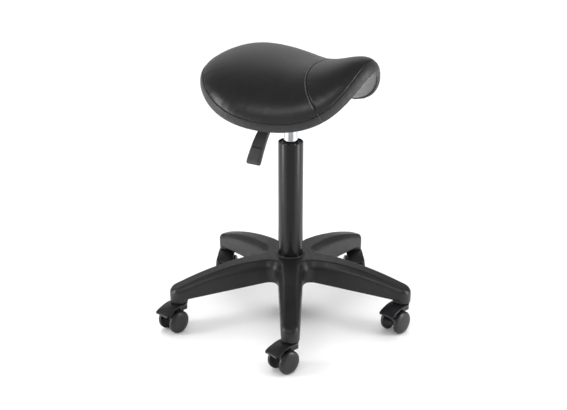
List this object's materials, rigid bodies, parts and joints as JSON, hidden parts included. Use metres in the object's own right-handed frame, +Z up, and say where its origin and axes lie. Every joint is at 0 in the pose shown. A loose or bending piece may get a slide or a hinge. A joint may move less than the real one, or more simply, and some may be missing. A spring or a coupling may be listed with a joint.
{
  "type": "adjustable swivel saddle stool",
  "caption": "Height-adjustable swivel stool with a padded saddle seat, gas column, release lever and star base on twin-wheel casters.",
  "frame": {"origin": "on the floor, on the axis of the column", "axes": "+Z up; -Y towards the front (pommel) of the saddle seat; -X is the side with the release lever"},
  "size_m": [0.5396, 0.5201, 0.6006],
  "materials": {
    "base_nylon": "fine moulded texture, satin on the worn top faces",
    "black_paint": "semi-gloss black powder coat",
    "grey_plastic": "smooth moulded",
    "bright_steel": "turned and ground",
    "zinc_steel": "zinc plated",
    "black_rubber": "matte",
    "brass_parts": "turned",
    "chrome_tube": "polished hard chrome",
    "shell_plastic": "satin moulded",
    "foam": "moulded seat foam",
    "black_vinyl": "satin black upholstery vinyl with a fine grain",
    "lever_plastic": "moulded with a light texture",
    "caster_nylon": "satin nylon"
  },
  "bodies": {
    "base": {"star_base": "base_nylon", "outer_tube": "black_paint", "guide_bush": "grey_plastic", "tube_end_plate": "bright_steel", "lower_race": "bright_steel", "bearing_balls": "bright_steel", "grip_rings": "bright_steel", "caster_stem_1": "bright_steel", "caster_stem_2": "bright_steel", "caster_stem_3": "bright_steel", "caster_stem_4": "bright_steel", "caster_stem_5": "bright_steel"},
    "rod": {"piston_rod": "bright_steel", "upper_race": "bright_steel", "rod_clip": "bright_steel", "stop_buffer": "black_rubber", "piston": "brass_parts", "piston_seal": "black_rubber"},
    "seat": {"gas_cylinder": "chrome_tube", "cylinder_gland": "grey_plastic", "valve_body": "brass_parts", "seat_mechanism": "black_paint", "seat_bolts": "zinc_steel", "bolt_washers": "zinc_steel", "t_nuts": "zinc_steel", "seat_shell": "shell_plastic", "seat_foam": "foam", "cover_rear": "black_vinyl", "cover_front": "black_vinyl", "side_band": "black_vinyl", "staples": "zinc_steel", "lever_pin": "bright_steel"},
    "lever": {"lever_rod": "black_paint", "lever_handle": "lever_plastic"},
    "valve": {"valve_pin": "bright_steel"},
    "caster_1": {"caster_hood_1": "caster_nylon", "caster_axle_1": "bright_steel"},
    "wheel_left_1": {"wheel_left_1": "caster_nylon"},
    "wheel_right_1": {"wheel_right_1": "caster_nylon"},
    "caster_2": {"caster_hood_2": "caster_nylon", "caster_axle_2": "bright_steel"},
    "wheel_left_2": {"wheel_left_2": "caster_nylon"},
    "wheel_right_2": {"wheel_right_2": "caster_nylon"},
    "caster_3": {"caster_hood_3": "caster_nylon", "caster_axle_3": "bright_steel"},
    "wheel_left_3": {"wheel_left_3": "caster_nylon"},
    "wheel_right_3": {"wheel_right_3": "caster_nylon"},
    "caster_4": {"caster_hood_4": "caster_nylon", "caster_axle_4": "bright_steel"},
    "wheel_left_4": {"wheel_left_4": "caster_nylon"},
    "wheel_right_4": {"wheel_right_4": "caster_nylon"},
    "caster_5": {"caster_hood_5": "caster_nylon", "caster_axle_5": "bright_steel"},
    "wheel_left_5": {"wheel_left_5": "caster_nylon"},
    "wheel_right_5": {"wheel_right_5": "caster_nylon"}
  },
  "joints": [
    {"name": "seat_swivel", "type": "hinge", "parent": "base", "child": "rod", "pos_m": [0, 0, 0.2], "axis": [0, 0, 1], "continuous": true},
    {"name": "seat_height", "type": "slide", "parent": "rod", "child": "seat", "axis": [0, 0, 1], "range_m": [0, 0.2]},
    {"name": "lever_lift", "type": "hinge", "parent": "seat", "child": "lever", "pos_m": [-0.026, 0, 0.4745], "axis": [0, 1, 0], "range_deg": [0, 6], "stiffness_Nm_per_rad": 3, "springref_deg": -5.73},
    {"name": "valve_press", "type": "slide", "parent": "seat", "child": "valve", "axis": [0, 0, -1], "range_m": [0, 0.0029]},
    {"name": "caster_swivel_1", "type": "hinge", "parent": "base", "child": "caster_1", "pos_m": [-0.21651, -0.125, 0.06], "axis": [0, 0, 1], "continuous": true},
    {"name": "left_wheel_spin_1", "type": "hinge", "parent": "caster_1", "child": "wheel_left_1", "pos_m": [-0.23353, -0.11914, 0.025], "axis": [-0.3256, -0.9455, 0], "continuous": true},
    {"name": "right_wheel_spin_1", "type": "hinge", "parent": "caster_1", "child": "wheel_right_1", "pos_m": [-0.23353, -0.11914, 0.025], "axis": [-0.3256, -0.9455, 0], "continuous": true},
    {"name": "caster_swivel_2", "type": "hinge", "parent": "base", "child": "caster_2", "pos_m": [0.05198, -0.24454, 0.06], "axis": [0, 0, 1], "continuous": true},
    {"name": "left_wheel_spin_2", "type": "hinge", "parent": "caster_2", "child": "wheel_left_2", "pos_m": [0.03451, -0.24018, 0.025], "axis": [-0.2419, -0.9703, 0], "continuous": true},
    {"name": "right_wheel_spin_2", "type": "hinge", "parent": "caster_2", "child": "wheel_right_2", "pos_m": [0.03451, -0.24018, 0.025], "axis": [-0.2419, -0.9703, 0], "continuous": true},
    {"name": "caster_swivel_3", "type": "hinge", "parent": "base", "child": "caster_3", "pos_m": [0.24863, -0.02613, 0.06], "axis": [0, 0, 1], "continuous": true},
    {"name": "left_wheel_spin_3", "type": "hinge", "parent": "caster_3", "child": "wheel_left_3", "pos_m": [0.23425, -0.03696, 0.025], "axis": [0.6018, -0.7986, 0], "continuous": true},
    {"name": "right_wheel_spin_3", "type": "hinge", "parent": "caster_3", "child": "wheel_right_3", "pos_m": [0.23425, -0.03696, 0.025], "axis": [0.6018, -0.7986, 0], "continuous": true},
    {"name": "caster_swivel_4", "type": "hinge", "parent": "base", "child": "caster_4", "pos_m": [0.10168, 0.22839, 0.06], "axis": [0, 0, 1], "continuous": true},
    {"name": "left_wheel_spin_4", "type": "hinge", "parent": "caster_4", "child": "wheel_left_4", "pos_m": [0.08511, 0.22135, 0.025], "axis": [0.3907, -0.9205, 0], "continuous": true},
    {"name": "right_wheel_spin_4", "type": "hinge", "parent": "caster_4", "child": "wheel_right_4", "pos_m": [0.08511, 0.22135, 0.025], "axis": [0.3907, -0.9205, 0], "continuous": true},
    {"name": "caster_swivel_5", "type": "hinge", "parent": "base", "child": "caster_5", "pos_m": [-0.18579, 0.16728, 0.06], "axis": [0, 0, 1], "continuous": true},
    {"name": "left_wheel_spin_5", "type": "hinge", "parent": "caster_5", "child": "wheel_left_5", "pos_m": [-0.20325, 0.17164, 0.025], "axis": [-0.2419, -0.9703, 0], "continuous": true},
    {"name": "right_wheel_spin_5", "type": "hinge", "parent": "caster_5", "child": "wheel_right_5", "pos_m": [-0.20325, 0.17164, 0.025], "axis": [-0.2419, -0.9703, 0], "continuous": true}
  ],
  "couplings": [
    {"joint": "valve_press", "follows": "lever_lift", "m_per_rad": 0.0276}
  ]
}
